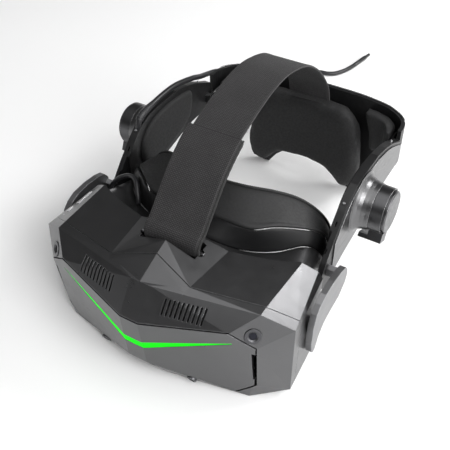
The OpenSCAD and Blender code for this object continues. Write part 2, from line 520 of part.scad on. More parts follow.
// ---------- leads ----------
module bridge_lead() place() color([0.05, 0.05, 0.05]) sweep(bridge_route, lead_d - 1.2, 4, 8);
module tether_lead() place() color([0.05, 0.05, 0.05]) sweep(tether_route, lead_d, 3, 8);
module lead_plug() place() color([0.08, 0.08, 0.08]) translate([-56.1, 635.2, -10.7]) rotate([0, 0, -8.7])
  rotate([-90, 0, 0]) union() {
    cylinder(r = 3.3, h = 34);
    translate([0, 0, 34]) cylinder(r = 2.2, h = 10);
  }

front_bezel();
face_plate();
light_bar();
top_shell();
bottom_shell();
vent_screen();
camera_upper_right();
camera_upper_left();
camera_lower_right();
camera_lower_left();
camera_glass_right();
camera_glass_left();
chassis();
main_board();
fan_frame();
fan_rotor();
lens_rail();
eye_panel();
barrel_right();
barrel_left();
lens_right();
lens_left();
display_right();
display_left();
ipd_wheel();
volume_rocker();
power_button();
status_led();
rear_collar();
gasket_frame();
face_cushion();
strap_bar();
hinge_boss_right();
hinge_boss_left();
hinge_cover_right();
hinge_cover_left();
arm_right();
arm_left();
arm_skin_right();
arm_skin_left();
arm_pad_right();
arm_pad_left();
speaker_right();
speaker_left();
speaker_cap_right();
speaker_cap_left();
slide_bar_right();
slide_bar_left();
rear_shell();
rear_rim();
rear_pad();
side_pad_right();
side_pad_left();
dial();
top_strap();
strap_tail();
bridge_lead();
tether_lead();
lead_plug();
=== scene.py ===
"""Head-worn display: materials, soft goods, straps and leads over the CAD frame. Metres, part frame."""
import math

import bpy
import bmesh
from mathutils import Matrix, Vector


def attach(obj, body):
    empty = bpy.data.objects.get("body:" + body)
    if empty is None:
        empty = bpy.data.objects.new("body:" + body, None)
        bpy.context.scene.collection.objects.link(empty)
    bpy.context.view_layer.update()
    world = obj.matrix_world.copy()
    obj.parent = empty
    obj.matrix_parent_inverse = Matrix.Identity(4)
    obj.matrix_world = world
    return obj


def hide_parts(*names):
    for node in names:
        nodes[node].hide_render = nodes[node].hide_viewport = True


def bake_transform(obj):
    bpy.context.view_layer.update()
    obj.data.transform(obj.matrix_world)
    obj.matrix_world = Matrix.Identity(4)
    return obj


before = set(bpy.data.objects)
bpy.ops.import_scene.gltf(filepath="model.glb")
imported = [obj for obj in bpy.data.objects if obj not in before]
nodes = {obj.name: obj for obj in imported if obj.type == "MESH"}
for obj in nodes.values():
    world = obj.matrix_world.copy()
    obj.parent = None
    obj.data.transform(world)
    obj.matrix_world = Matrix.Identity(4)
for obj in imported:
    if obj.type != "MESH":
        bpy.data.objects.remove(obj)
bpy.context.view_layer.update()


def P(x, y, z):
    """Working millimetres of the CAD source to metres in the part frame."""
    return Vector((x / 1000, y / 1000 - 0.15655, z / 1000 + 0.014))


# ---------------------------------------------------------------- camera
cam_data = bpy.data.cameras.new("camera")
cam = bpy.data.objects.new("camera", cam_data)
bpy.context.scene.collection.objects.link(cam)
cam.location = (0.3005, -0.53745, 0.5895)
cam.rotation_euler = (math.radians(48.7), 0, math.radians(30.49))
cam_data.lens = 58.9
cam_data.sensor_width = 36
cam_data.clip_start = 0.01
cam_data.clip_end = 50
bpy.context.scene.camera = cam


# ---------------------------------------------------------------- materials
class Mat:
    """A principled material with helpers for object-space detail."""

    def __init__(self, name, color, rough, metal=0.0, **sockets):
        self.m = bpy.data.materials.new(name)
        self.m.use_nodes = True
        self.t = self.m.node_tree
        self.b = self.t.nodes["Principled BSDF"]
        self.color, self.rough = color, rough
        self.b.inputs["Base Color"].default_value = (*color, 1)
        self.b.inputs["Roughness"].default_value = rough
        self.b.inputs["Metallic"].default_value = metal
        for k, v in sockets.items():
            self.b.inputs[k.replace("_", " ")].default_value = v
        self.normal = None
        self.col = None

    def new(self, kind):
        return self.t.nodes.new("ShaderNode" + kind)

    def link(self, a, b):
        self.t.links.new(a, b)

    def coords(self, scale=(1, 1, 1)):
        tc, mp = self.new("TexCoord"), self.new("Mapping")
        self.link(tc.outputs["Object"], mp.inputs["Vector"])
        mp.inputs["Scale"].default_value = scale
        return mp.outputs["Vector"]

    def noise(self, scale, detail=3, rough=0.5, stretch=(1, 1, 1)):
        n = self.new("TexNoise")
        self.link(self.coords(stretch), n.inputs["Vector"])
        n.inputs["Scale"].default_value = scale
        n.inputs["Detail"].default_value = detail
        n.inputs["Roughness"].default_value = rough
        return n.outputs["Fac"]

    def cells(self, scale, feature="F1", stretch=(1, 1, 1)):
        n = self.new("TexVoronoi")
        n.feature = feature
        self.link(self.coords(stretch), n.inputs["Vector"])
        n.inputs["Scale"].default_value = scale
        return n.outputs["Distance"]

    def remap(self, v, a, b, c, d):
        n = self.new("MapRange")
        self.link(v, n.inputs["Value"])
        for k, x in zip(("From Min", "From Max", "To Min", "To Max"), (a, b, c, d)):
            n.inputs[k].default_value = x
        return n.outputs["Result"]

    def math(self, op, a, b=None):
        n = self.new("Math")
        n.operation = op
        for i, x in enumerate((a, b)):
            if x is None:
                continue
            if isinstance(x, (int, float)):
                n.inputs[i].default_value = x
            else:
                self.link(x, n.inputs[i])
        return n.outputs[0]

    def tint(self, fac, other):
        """Mixes the colour so far towards another one by a factor."""
        n = self.new("Mix")
        n.data_type = "RGBA"
        self.link(fac, n.inputs[0])
        if self.col is None:
            n.inputs[6].default_value = (*self.color, 1)
        else:
            self.link(self.col, n.inputs[6])
        n.inputs[7].default_value = (*other, 1)
        self.col = n.outputs[2]
        self.link(self.col, self.b.inputs["Base Color"])
        return self

    def shine(self, v, lo, hi, a=0.3, b=0.7):
        self.link(self.remap(v, a, b, lo, hi), self.b.inputs["Roughness"])
        return self

    def bump(self, height, strength, dist=0.0002):
        n = self.new("Bump")
        n.inputs["Strength"].default_value = strength
        n.inputs["Distance"].default_value = dist
        self.link(height, n.inputs["Height"])
        if self.normal is not None:
            self.link(self.normal, n.inputs["Normal"])
        self.normal = n.outputs["Normal"]
        self.link(self.normal, self.b.inputs["Normal"])
        return self

    def soften(self, radius, edge_highlight=None, amount=0.6):
        """Rounds hard edges in shading and lightens the colour along them as a painted edge highlight,
        broken up by noise.
        """
        n = self.new("Bevel")
        n.samples = 6
        n.inputs["Radius"].default_value = radius
        self.normal = n.outputs["Normal"]
        self.link(self.normal, self.b.inputs["Normal"])
        # Painted highlight: the colour is lightened along the edges, broken up by noise, to stand in for
        # light caught there.
        if edge_highlight is not None:
            g, d = self.new("NewGeometry"), self.new("VectorMath")
            d.operation = "DOT_PRODUCT"
            self.link(g.outputs["Normal"], d.inputs[0])
            self.link(n.outputs["Normal"], d.inputs[1])
            edge = self.remap(d.outputs["Value"], 0.995, 0.9, 0, amount)
            highlight_mask = self.math("MULTIPLY", edge, self.remap(self.noise(180, 4), 0.35, 0.6, 0.25, 1))
            self.tint(highlight_mask, edge_highlight)
        return self


def housing(name, base, metal, rough):
    k = Mat(name, base, rough, metal, Coat_Weight=0.08, Coat_Roughness=0.2)
    # Lighter edge colour: a painted edge highlight along the facet edges.
    k.soften(0.0007, tuple(min(1, c * 2.4 + 0.03) for c in base), 0.5)
    k.tint(k.remap(k.noise(26, 3), 0.35, 0.7, 0, 0.16), tuple(c * 0.72 for c in base))
    k.tint(k.remap(k.noise(5200, 2, 0.6), 0.62, 0.78, 0, 0.2), tuple(min(1, c * 1.8 + 0.02) for c in base))
    k.shine(k.noise(60, 5, 0.65), rough - 0.03, rough + 0.04)
    k.bump(k.noise(1400, 3, 0.6), 0.02, 0.00004)
    return k.m


M = {}
M["housing_satin"] = housing("housing_satin", (0.115, 0.115, 0.118), 0.92, 0.3)
M["cover_satin"] = housing("cover_satin", (0.22, 0.22, 0.226), 0.9, 0.36)

k = Mat("glow_lens", (0.0, 0.02, 0.0), 0.5, 0, Specular_IOR_Level=0.1)
k.b.inputs["Emission Strength"].default_value = 1.0
mix = k.new("Mix")
mix.data_type = "RGBA"
k.link(k.remap(k.noise(55, 2), 0.35, 0.65, 0, 1), mix.inputs[0])
mix.inputs[6].default_value = (0.0, 1.0, 0.0, 1)
mix.inputs[7].default_value = (0.0, 0.92, 0.004, 1)
k.link(mix.outputs[2], k.b.inputs["Emission Color"])
k.bump(k.noise(900, 2), 0.05)
M["glow_lens"] = k.m

k = Mat("mesh_black", (0.008, 0.008, 0.009), 0.6, 0.2)
k.bump(k.cells(900), 0.8, 0.0006)
k.tint(k.remap(k.cells(900), 0.2, 0.6, 0.5, 0), (0.03, 0.03, 0.032))
M["mesh_black"] = k.m

k = Mat("camera_ring", (0.085, 0.085, 0.09), 0.33, 0.9)
# Light grey edge colour: a painted edge highlight on the ring.
k.soften(0.0004, (0.35, 0.35, 0.36), 0.6)
k.shine(k.noise(400, 4), 0.28, 0.42)
k.bump(k.noise(2500, 2), 0.08, 0.00005)
M["camera_ring"] = k.m

k = Mat("dark_glass", (0.002, 0.002, 0.004), 0.07, 0, Specular_IOR_Level=0.25)
k.tint(k.remap(k.noise(90, 2), 0.3, 0.7, 0, 0.7), (0.006, 0.007, 0.02))
k.shine(k.noise(300, 3), 0.05, 0.11)
k.bump(k.noise(700, 2), 0.02, 0.00005)
M["dark_glass"] = k.m


def moulded(name, base, rough, grain=1100, depth=0.25, edge_highlight=None, spec=0.5):
    k = Mat(name, base, rough, 0.0, Specular_IOR_Level=spec)
    # Lighter edge colour: a painted edge highlight.
    k.soften(0.0005, edge_highlight or tuple(c * 1.8 + 0.015 for c in base), 0.55)
    k.tint(k.remap(k.noise(35, 4), 0.35, 0.7, 0, 0.4), tuple(c * 0.65 for c in base))
    k.shine(k.noise(220, 5, 0.6), rough - 0.07, rough + 0.08)
    k.bump(k.noise(grain, 4, 0.7), depth, 0.00012)
    k.bump(k.cells(grain * 0.9), depth * 0.5, 0.0001)
    return k.m


M["inner_frame"] = moulded("inner_frame", (0.008, 0.008, 0.009), 0.55)
M["arm_black"] = moulded("arm_black", (0.007, 0.007, 0.0075), 0.42, 1500, 0.2)
M["knob_black"] = moulded("knob_black", (0.007, 0.007, 0.008), 0.5, 1800, 0.3)
M["gasket_gloss"] = moulded("gasket_gloss", (0.006, 0.006, 0.0065), 0.46, 500, 0.04, spec=0.25)
M["board"] = moulded("board", (0.01, 0.07, 0.025), 0.4)
M["lead_jacket"] = moulded("lead_jacket", (0.016, 0.016, 0.018), 0.36, 1600, 0.15)


def brushed(name, base, rough, stretch, edge_highlight=(0.75, 0.75, 0.76)):
    k = Mat(name, base, rough, 1.0)
    # Near-white edge colour: a painted edge highlight on the metal.
    k.soften(0.0005, edge_highlight, 0.6)
    lines = k.noise(260, 6, 0.75, stretch)
    k.tint(k.remap(lines, 0.3, 0.7, 0, 0.35), tuple(c * 0.6 for c in base))
    k.shine(lines, rough - 0.06, rough + 0.10)
    k.bump(lines, 0.12, 0.00008)
    k.bump(k.noise(70, 3), 0.05, 0.0002)
    return k.m


M["rail_steel"] = brushed("rail_steel", (0.30, 0.30, 0.31), 0.3, (0.05, 3, 3))
M["key_silver"] = brushed("key_silver", (0.62, 0.62, 0.63), 0.32, (3, 0.2, 3))
M["rim_silver"] = brushed("rim_silver", (0.5, 0.5, 0.51), 0.25, (0.3, 0.3, 3))
M["arm_metal"] = brushed("arm_metal", (0.17, 0.17, 0.173), 0.3, (3, 0.12, 3))
M["speaker_metal"] = brushed("speaker_metal", (0.12, 0.12, 0.124), 0.32, (6, 0.6, 0.6))

k = Mat("optic", (0.55, 0.6, 0.7), 0.04, 0, Transmission_Weight=0.85, IOR=1.49, Coat_Weight=0.6)
k.tint(k.remap(k.noise(40, 2), 0.3, 0.7, 0, 0.5), (0.45, 0.4, 0.7))
k.shine(k.noise(260, 3), 0.02, 0.07)
k.bump(k.noise(500, 2), 0.01, 0.00003)
M["optic"] = k.m


def leatherette(name, base, rough):
    k = Mat(name, base, rough, 0, Sheen_Weight=0.03, Sheen_Roughness=0.5)
    cell = k.cells(1150, "DISTANCE_TO_EDGE")
    k.tint(k.remap(k.noise(22, 4), 0.35, 0.7, 0, 0.45), tuple(c * 0.6 for c in base))
    k.tint(k.remap(cell, 0.0, 0.12, 0.5, 0), tuple(c * 0.4 for c in base))
    k.shine(k.noise(420, 4), rough - 0.1, rough + 0.08)
    k.bump(k.noise(28, 3), 0.35, 0.0012)
    k.bump(cell, 0.45, 0.00025)
    k.bump(k.noise(2600, 3), 0.2, 0.0001)
    return k.m


M["cushion"] = leatherette("cushion", (0.0105, 0.0105, 0.011), 0.62)
M["pad_fabric"] = leatherette("pad_fabric", (0.0075, 0.0075, 0.008), 0.75)


def webbing(name, base, pitch):
    """Woven webbing in UV metres: u across, v along."""
    k = Mat(name, base, 0.82, 0, Sheen_Weight=0.06, Sheen_Roughness=0.4)
    tc, sp = k.new("TexCoord"), k.new("SeparateXYZ")
    k.link(tc.outputs["UV"], sp.inputs[0])
    u, v = sp.outputs[0], sp.outputs[1]
    f = 2 * math.pi / pitch
    a = k.math("SINE", k.math("MULTIPLY", k.math("ADD", u, v), f))
    b = k.math("SINE", k.math("MULTIPLY", k.math("SUBTRACT", u, v), f))
    dots = k.math("MULTIPLY", a, b)
    ribs = k.math("SINE", k.math("MULTIPLY", v, f * 3))
    warp = k.math("SINE", k.math("MULTIPLY", u, f * 3))
    k.tint(k.remap(dots, 0.15, 0.8, 0, 0.85), tuple(c * 4.2 + 0.03 for c in base))
    k.tint(k.remap(k.noise(40, 4), 0.4, 0.75, 0, 0.4), tuple(c * 0.6 for c in base))
    k.tint(k.remap(ribs, -1, 0.2, 0.2, 0), tuple(c * 0.35 for c in base))
    k.shine(k.noise(500, 3), 0.74, 0.9)
    k.bump(dots, 0.5, 0.0003)
    k.bump(ribs, 0.2, 0.0003)
    k.bump(warp, 0.2, 0.0002)
    k.bump(k.noise(3200, 3), 0.3, 0.0001)
    return k.m


M["strap_weave"] = webbing("strap_weave", (0.0125, 0.0118, 0.0125), 0.0034)
M["strap_edge"] = webbing("strap_edge", (0.008, 0.008, 0.008), 0.0016)

k = Mat("barrel_black", (0.006, 0.006, 0.006), 0.5)
# Lighter edge colour: a painted edge highlight.
k.soften(0.0004, (0.03, 0.03, 0.03), 0.6)
k.shine(k.noise(300, 4), 0.42, 0.6)
k.bump(k.noise(1300, 3), 0.2)
M["barrel_black"] = k.m

USE = {
    "housing_satin": ["front_bezel", "face_plate", "top_shell", "bottom_shell"],
    "glow_lens": ["light_bar"],
    "mesh_black": ["vent_screen"],
    "camera_ring": ["camera_upper_right", "camera_upper_left", "camera_lower_right", "camera_lower_left"],
    "dark_glass": ["camera_glass_right", "camera_glass_left", "display_right", "display_left"],
    "inner_frame": ["chassis", "fan_frame", "fan_rotor", "eye_panel"],
    "board": ["main_board"],
    "rail_steel": ["lens_rail", "strap_bar"],
    "barrel_black": ["barrel_right", "barrel_left"],
    "optic": ["lens_right", "lens_left"],
    "knob_black": ["ipd_wheel", "dial"],
    "key_silver": ["volume_rocker", "power_button", "status_led"],
    "cover_satin": ["hinge_cover_right", "hinge_cover_left", "hinge_boss_right", "hinge_boss_left"],
    "arm_black": ["arm_right", "arm_left", "rear_shell"],
    "arm_metal": ["arm_skin_right", "arm_skin_left", "slide_bar_right", "slide_bar_left"],
    "rim_silver": ["rear_rim"],
    "speaker_metal": ["speaker_right", "speaker_left", "speaker_cap_right", "speaker_cap_left"],
    "lead_jacket": ["lead_plug"],
}
for mat, names in USE.items():
    for n in names:
        o = nodes[n]
        o.data.materials.clear()
        o.data.materials.append(M[mat])


# ---------------------------------------------------------------- mesh helpers
def mesh_object(name, verts, faces, mat, sharp=40, uvs=None):
    me = bpy.data.meshes.new(name)
    me.from_pydata([tuple(v) for v in verts], [], faces)
    me.update()
    o = bpy.data.objects.new(name, me)
    bpy.context.scene.collection.objects.link(o)
    me.materials.append(M[mat] if isinstance(mat, str) else mat)
    bm = bmesh.new()
    bm.from_mesh(me)
    bmesh.ops.recalc_face_normals(bm, faces=bm.faces)
    for f in bm.faces:
        f.smooth = True
    for e in bm.edges:
        if len(e.link_faces) == 2 and e.calc_face_angle(0) > math.radians(sharp):
            e.smooth = False
    bm.to_mesh(me)
    bm.free()
    if uvs is not None:
        layer = me.uv_layers.new(name="uv")
        for lp in me.loops:
            layer.data[lp.index].uv = uvs[lp.vertex_index]
    return o


def subdivide(o, level):
    mod = o.modifiers.new("subdivision", "SUBSURF")
    mod.levels = mod.render_levels = level
    apply_modifiers(o)
    return o


def apply_modifiers(o):
    bpy.context.view_layer.update()
    dep = bpy.context.evaluated_depsgraph_get()
    me = bpy.data.meshes.new_from_object(o.evaluated_get(dep), depsgraph=dep)
    old = o.data
    o.modifiers.clear()
    o.data = me
    bpy.data.meshes.remove(old)
    for p in me.polygons:
        p.use_smooth = True


def cr(a, b, c, d, t):
    """Catmull-Rom curve between b and c."""
    square = (2 * a - 5 * b + 4 * c - d) * t * t
    cube = (3 * b - a - 3 * c + d) * t ** 3
    return 0.5 * (2 * b + (c - a) * t + square + cube)


def open_curve(p, k):
    n = len(p)
    out = []
    for i in range(n - 1):
        q = [Vector(p[max(i - 1, 0)]), Vector(p[i]), Vector(p[i + 1]), Vector(p[min(i + 2, n - 1)])]
        out += [cr(*q, s / k) for s in range(k)]
    return out + [Vector(p[-1])]


def closed_curve(p, k):
    n = len(p)
    out = []
    for i in range(n):
        q = [Vector(p[(i + j) % n]) for j in (-1, 0, 1, 2)]
        out += [cr(*q, s / k) for s in range(k)]
    return out


def tube(name, line, radius, mat, sides=12, closed=False, rib=None, taper=None):
    """Round section swept along points (metres); rib=(pitch, depth) rings it, taper=f(t) scales it."""
    n = len(line)
    verts, uvs, dist = [], [], 0.0
    up = None
    for i, p in enumerate(line):
        a = line[(i - 1) % n] if closed or i > 0 else p
        b = line[(i + 1) % n] if closed or i < n - 1 else p
        t = (b - a).normalized()
        if up is None:
            up = t.orthogonal().normalized()
        up = (up - t * up.dot(t)).normalized()
        side = t.cross(up)
        if i:
            dist += (p - line[i - 1]).length
        r = radius * (taper(i / (n - 1)) if taper else 1)
        if rib:
            r -= rib[1] * (0.5 - 0.5 * math.cos(2 * math.pi * dist / rib[0]))
        for s in range(sides):
            w = 2 * math.pi * s / sides
            verts.append(p + (up * math.cos(w) + side * math.sin(w)) * r)
            uvs.append((s / sides * radius * 6.283, dist))
    faces = []
    for i in range(n if closed else n - 1):
        j = (i + 1) % n
        for s in range(sides):
            q = (s + 1) % sides
            faces.append((i * sides + s, i * sides + q, j * sides + q, j * sides + s))
    if not closed:
        faces.append(tuple(range(sides)))
        faces.append(tuple((n - 1) * sides + s for s in range(sides)))
    return mesh_object(name, verts, faces, mat, uvs=uvs)


def ring_mesh(name, halves, k, mat, level=0, sharp=40):
    """Closed band through closed loops given as right halves from the top centre down."""
    loops = []
    for h in halves:
        whole = [Vector(p) for p in h] + [Vector((-p[0], p[1], p[2])) for p in reversed(h[1:-1])]
        loops.append(closed_curve(whole, k))
    n, m = len(loops[0]), len(loops)
    verts = [P(*p) for l in loops for p in l]
    faces = [(j * n + i, j * n + (i + 1) % n, ((j + 1) % m) * n + (i + 1) % n, ((j + 1) % m) * n + i)
             for j in range(m) for i in range(n)]
    o = mesh_object(name, verts, faces, mat, sharp=sharp)
    return subdivide(o, level) if level else o


def shrunk(h, d, dy):
    out = []
    for p in h:
        v = Vector((p[0], p[2] - 52))
        m = max(v.length, 1)
        out.append((p[0] - d * v[0] / m, p[1] + dy, p[2] - d * v[1] / m))
    return out


def between(a, b, t):
    return [tuple(Vector(p) * (1 - t) + Vector(q) * t) for p, q in zip(a, b)]


# ---------------------------------------------------------------- leads
TETHER_WIDE = 0.0064
BRIDGE_WIDE = 0.0052
PLUG_TURN = math.radians(8.7)  # how far the plug points off straight back
tether_route = [(-122.7, 150, 119.5), (-122.7, 157, 135.2), (-122.7, 182, 140),
                (-122.7, 221, 140.6), (-122.7, 258, 132.5), (-125.6, 284, 122), (-128.4, 306, 114),
                (-128.6, 326, 107.5), (-121, 347, 99), (-108, 366, 84), (-101, 378, 60),
                (-99, 386, 30), (-98, 402, 2), (-98, 428, -10.7), (-98, 470, -10.7),
                (-103, 512, -10.7), (-110, 545, -10.7), (-111.5, 565, -10.7), (-106, 579, -10.7),
                (-95, 585.5, -10.7), (-83, 587.5, -10.7), (-72.5, 594, -10.7),
                (-64.5, 606.5, -10.7), (-59, 622, -10.7), (-56.2, 634.7, -10.7)]
bridge_route = [(-124.2, 99, 73.5), (-122.4, 96.6, 82.5), (-114, 97, 94), (-103, 98.8, 101.8),
                (-92, 96.3, 106.1), (-83, 90, 106.7), (-76.5, 82.4, 103), (-73, 78, 96.9),
                (-72, 76.4, 92.6)]


def run(points):
    return sum((b - a).length for a, b in zip(points, points[1:]))


tether_line = [P(*p) for p in open_curve(tether_route, 12)]
tether = tube("tether_lead_skin", tether_line, TETHER_WIDE / 2, "lead_jacket", 16)
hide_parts("tether_lead")
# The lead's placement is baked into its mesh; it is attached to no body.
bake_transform(tether)

axis = Vector((math.sin(PLUG_TURN), math.cos(PLUG_TURN), 0))
start = P(-56.1, 635.0, -10.7)


def turned(name, base, axis, prof, mat, sides=40, sharp=35):
    """Surface of revolution: prof is (distance along axis, radius) in millimetres."""
    axis = Vector(axis).normalized()
    u = axis.orthogonal().normalized()
    v = axis.cross(u)
    verts = [base + axis * (d / 1000) + (u * math.cos(a) + v * math.sin(a)) * (r / 1000)
             for d, r in prof for a in [2 * math.pi * s / sides for s in range(sides)]]
    faces = [(i * sides + s, i * sides + (s + 1) % sides,
              (i + 1) * sides + (s + 1) % sides, (i + 1) * sides + s)
             for i in range(len(prof) - 1) for s in range(sides)]
    faces += [tuple(range(sides)), tuple((len(prof) - 1) * sides + s for s in range(sides))]
    return mesh_object(name, verts, faces, mat, sharp=sharp)


plug = turned("lead_plug_body", start, axis,
              [(0, 3.15), (0.3, 3.3), (6, 3.3), (6.3, 3.0), (7.1, 3.0), (7.4, 3.3), (28, 3.3),
               (31, 3.1), (33.6, 2.7), (34, 2.5), (34.1, 2.2), (37, 2.2), (37.2, 2.0), (38, 2.0),
               (38.2, 2.2), (43.6, 2.2), (44, 1.9)],
              "speaker_metal")
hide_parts("lead_plug")
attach(plug, "visor")


def relief(name, line, base_r, tip_r, mat="lead_jacket"):
    """Tapered, slotted sleeve along the first points of a lead."""
    o = tube(name, line, base_r, mat, 18, rib=(0.0026, 0.00045),
             taper=lambda t: 1 + (tip_r / base_r - 1) * t ** 1.3)
    return o


def piece_of(line, length):
    """The first stretch of a line, resampled finely."""
    out, left = [line[0]], length
    for a, b in zip(line, line[1:]):
        d = (b - a).length
        steps = max(1, int(d / 0.0004))
        for s in range(1, steps + 1):
            if left <= 0:
                return out
            out.append(a + (b - a) * (s / steps))
            left -= d / steps
    return out


exit_relief = relief("lead_relief_arm", piece_of(tether_line[10:], 0.03), 0.0046, 0.0034)
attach(exit_relief, "headband")
plug_relief = relief("lead_relief_plug", piece_of(list(reversed(tether_line)), 0.022), 0.0033, 0.00325)
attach(plug_relief, "visor")

bridge_line = [P(*p) for p in open_curve(bridge_route, 10)]
bridge = tube("bridge_lead_skin", bridge_line, BRIDGE_WIDE / 2, "lead_jacket", 14)
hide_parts("bridge_lead")
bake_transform(bridge)

# ---------------------------------------------------------------- face side
loop_a = [(0, 46.5, 113), (26, 48, 106.5), (50, 52, 99), (84, 62, 96.5), (106, 72, 95),
          (118, 79, 87), (122.3, 81, 68), (122.3, 78, 36), (113, 76, 9), (86, 76, -4), (50, 76, -5),
          (22, 74, 6), (0, 72, 12)]
loop_b = [(0, 56, 108), (27, 58, 102), (55, 71, 91), (83, 86, 90), (103, 106, 90.5), (112, 121, 76),
          (115.5, 129, 58), (115.5, 137, 34), (107, 138, 10), (84, 128, 0), (50, 116, -2),
          (22, 106, 10), (0, 102, 18)]
loop_c = [(0, 74, 117), (30, 76, 115.5), (58.6, 79, 114), (77, 93, 114), (95, 110, 107),
          (107.5, 126, 96), (113.5, 140, 76), (114.5, 149, 40), (108, 146, 10), (86, 136, -6),
          (54, 126, -8), (24, 116, 6), (0, 111, 16)]
loop_d = [(0, 113, 131.5), (30, 117, 130.5), (58, 129, 126), (78, 141, 117), (95, 150, 103),
          (107, 156, 85), (111.5, 159, 62), (112, 160, 36), (106, 158, 8), (86, 150, -8),
          (56, 140, -10), (26, 128, 4), (0, 122, 16)]
loop_ab = [(min((p[0] + q[0]) / 2, 116.6), (p[1] + q[1]) / 2, (p[2] + q[2]) / 2)
           for p, q in zip(loop_a, loop_b)]

collar = ring_mesh("collar_skin", [
    loop_a, between(loop_a, loop_ab, 0.5), loop_ab, between(loop_ab, loop_b, 0.5), loop_b,
    shrunk(loop_b, 3, -0.4), shrunk(loop_ab, 3, 0), shrunk(loop_a, 3, 0.2)], 8, "housing_satin")
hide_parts("rear_collar")
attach(collar, "visor")

mid_bc = between(loop_b, loop_c, 0.5)
gasket = ring_mesh("gasket_skin", [
    shrunk(loop_b, 0.5, 0.6), shrunk(between(loop_b, loop_c, 0.12), -0.6, 0.8),
    shrunk(mid_bc, -1.2, 0.8), shrunk(between(loop_b, loop_c, 0.88), -0.6, 0.2),
    shrunk(loop_c, 0, 0), shrunk(loop_c, 4, -0.3), shrunk(mid_bc, 3, 1),
    shrunk(loop_b, 4.5, 0.5)], 4, "gasket_gloss", 1)
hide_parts("gasket_frame")
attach(gasket, "visor")

cushion = ring_mesh("face_cushion_skin", [
    shrunk(loop_c, 1.6, 1.6), shrunk(between(loop_c, loop_d, 0.05), 0.5, 1.6),
    shrunk(between(loop_c, loop_d, 0.11), 0.0, 1.5),
    shrunk(between(loop_c, loop_d, 0.15), 0.5, 1.4), shrunk(between(loop_c, loop_d, 0.19), -0.1, 1.4),
    shrunk(between(loop_c, loop_d, 0.38), -0.6, 1.0), shrunk(between(loop_c, loop_d, 0.6), -0.7, 0.3),
    shrunk(between(loop_c, loop_d, 0.78), -0.4, -0.8), shrunk(between(loop_c, loop_d, 0.9), 0.3, -1.8),
    shrunk(between(loop_c, loop_d, 0.96), 1.0, -1.6), shrunk(loop_d, 2.4, -1.0),
    shrunk(loop_d, 3.0, 0.4), shrunk(loop_d, 5.5, 2.4), shrunk(loop_d, 10, 3.3), shrunk(loop_d, 15, 2.4),
    shrunk(loop_d, 19, -1.4), shrunk(between(loop_c, loop_d, 0.6), 20, 0),
    shrunk(between(loop_c, loop_d, 0.3), 18, 0),
    shrunk(loop_c, 10, 2.0)], 5, "cushion", 1)
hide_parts("face_cushion")
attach(cushion, "visor")


def whole_loop(h, k):
    pts = [Vector(p) for p in h] + [Vector((-p[0], p[1], p[2])) for p in reversed(h[1:-1])]
    return [P(*p) for p in closed_curve(pts, k)]


piping = tube("face_cushion_piping", whole_loop(shrunk(loop_d, 1.5, -0.3), 40), 0.00165, "cushion", 8,
              closed=True, rib=(0.0019, 0.00035))
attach(piping, "visor")


# ---------------------------------------------------------------- padded pieces
def soft_copy(name, node, voxel, press, cap, mat, shrink=0.0012, level=1):
    """Cushion from its CAD solid: remeshed, inflated by the cloth solver, movement capped."""
    src = nodes[node]
    o = src.copy()
    o.data = src.data.copy()
    for key in list(o.keys()):
        del o[key]
    o.name = name
    o.parent = None
    bpy.context.scene.collection.objects.link(o)
    bm = bmesh.new()
    bm.from_mesh(o.data)
    bmesh.ops.remove_doubles(bm, verts=bm.verts, dist=0.00005)
    bm.to_mesh(o.data)
    bm.free()
    mod = o.modifiers.new("remesh", "REMESH")
    mod.mode = "VOXEL"
    mod.voxel_size = voxel
    apply_modifiers(o)
    for v in o.data.vertices:
        v.co -= v.normal * shrink
    rest = [v.co.copy() for v in o.data.vertices]
    cl = o.modifiers.new("cloth", "CLOTH")
    s = cl.settings
    s.use_pressure = True
    s.uniform_pressure_force = press
    s.effector_weights.gravity = 0
    s.quality = 5
    s.tension_stiffness = s.compression_stiffness = 25
    cl.point_cache.frame_end = 20
    for f in range(1, 21):
        bpy.context.scene.frame_set(f)
    dep = bpy.context.evaluated_depsgraph_get()
    done = [v.co.copy() for v in o.evaluated_get(dep).data.vertices]
    o.modifiers.clear()
    bpy.context.scene.frame_set(1)
    for v, a, b in zip(o.data.vertices, rest, done):
        d = b - a
        v.co = a + (d * (cap / d.length) if d.length > cap else d)
    sm = o.modifiers.new("smooth", "SMOOTH")
    sm.factor = 0.6
    sm.iterations = 9
    subdivide(o, level)
    o.data.materials.clear()
    o.data.materials.append(M[mat])
    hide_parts(node)
    return o


for s in ("right", "left"):
    pad = soft_copy("side_pad_soft_" + s, "side_pad_" + s, 0.003, 4, 0.003, "pad_fabric")
    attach(pad, "cradle")
rear = soft_copy("rear_pad_soft", "rear_pad", 0.0034, 4, 0.005, "pad_fabric", 0.002)
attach(rear, "cradle")


def crowned(name, outline, to3d, depth, mat):
    """Pad from a 2-D outline: flat back, domed front that rolls over at the edge."""
    k = 8
    pts = closed_curve([Vector((a, b, 0)) for a, b in outline], k)
    n = len(pts)
    c = sum(pts, Vector()) / n
    verts = []
    prof = [(1.0, 0.0), (1.0, 0.35), (0.985, 0.62), (0.955, 0.82), (0.90, 0.94), (0.82, 1.0),
            (0.66, 1.03), (0.45, 1.05), (0.2, 1.06)]
    for sc, h in prof:
        verts += [to3d(c + (p - c) * sc, h * depth) for p in pts]
    verts.append(to3d(c, 1.06 * depth))
    verts.append(to3d(c, 0))
    m = len(prof)
    faces = [(j * n + i, j * n + (i + 1) % n, (j + 1) * n + (i + 1) % n, (j + 1) * n + i)
             for j in range(m - 1) for i in range(n)]
    faces += [((m - 1) * n + i, (m - 1) * n + (i + 1) % n, m * n) for i in range(n)]
    faces += [((i + 1) % n, i, m * n + 1) for i in range(n)]
    return mesh_object(name, verts, faces, mat, sharp=70)


